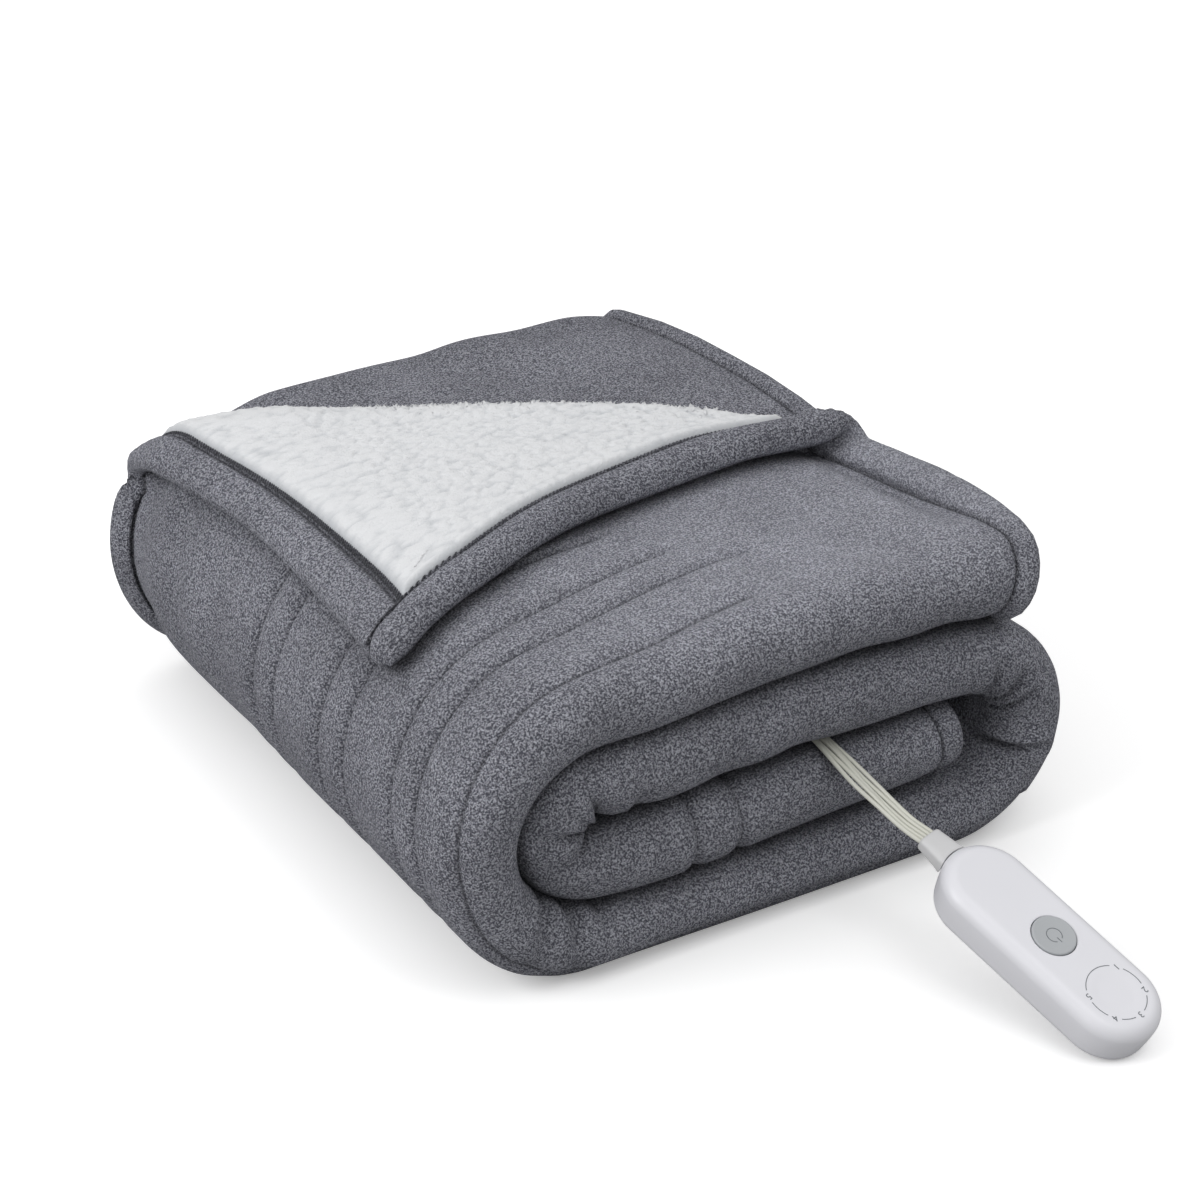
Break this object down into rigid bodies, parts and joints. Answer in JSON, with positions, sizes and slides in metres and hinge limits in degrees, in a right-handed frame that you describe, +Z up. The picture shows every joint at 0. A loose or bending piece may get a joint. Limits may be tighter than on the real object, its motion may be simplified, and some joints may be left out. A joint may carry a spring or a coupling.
{
  "type": "electric heated blanket",
  "caption": "Plush heated throw folded in thirds and rolled, one corner turned back over its pile lining, with a flat lead and a hand controller.",
  "frame": {"origin": "centre of the flat strip on which the rolled blanket rests", "axes": "+Z up, +Y along the roll's axis from the near rolled end with the controller to the far end, +X to the right seen from the near end"},
  "size_m": [0.4092, 0.6619, 0.2192],
  "materials": {
    "plush": "short grey plush pile",
    "pile": "white curly sherpa pile",
    "lead": "satin cream flat cable",
    "boot": "satin",
    "case": "satin white",
    "button": "satin grey"
  },
  "bodies": {
    "throw": {"blanket": "plush", "sherpa_corner": "pile", "lead_cord": "lead", "cord_boot": "boot", "controller_case": "case"},
    "power_button": {"power_button": "button"}
  },
  "joints": [
    {"name": "power_press", "type": "slide", "parent": "throw", "child": "power_button", "axis": [-0.0306, 0.382, -0.9237], "range_m": [0, 0.0012], "stiffness_N_per_m": 300, "springref_m": -0.001}
  ]
}
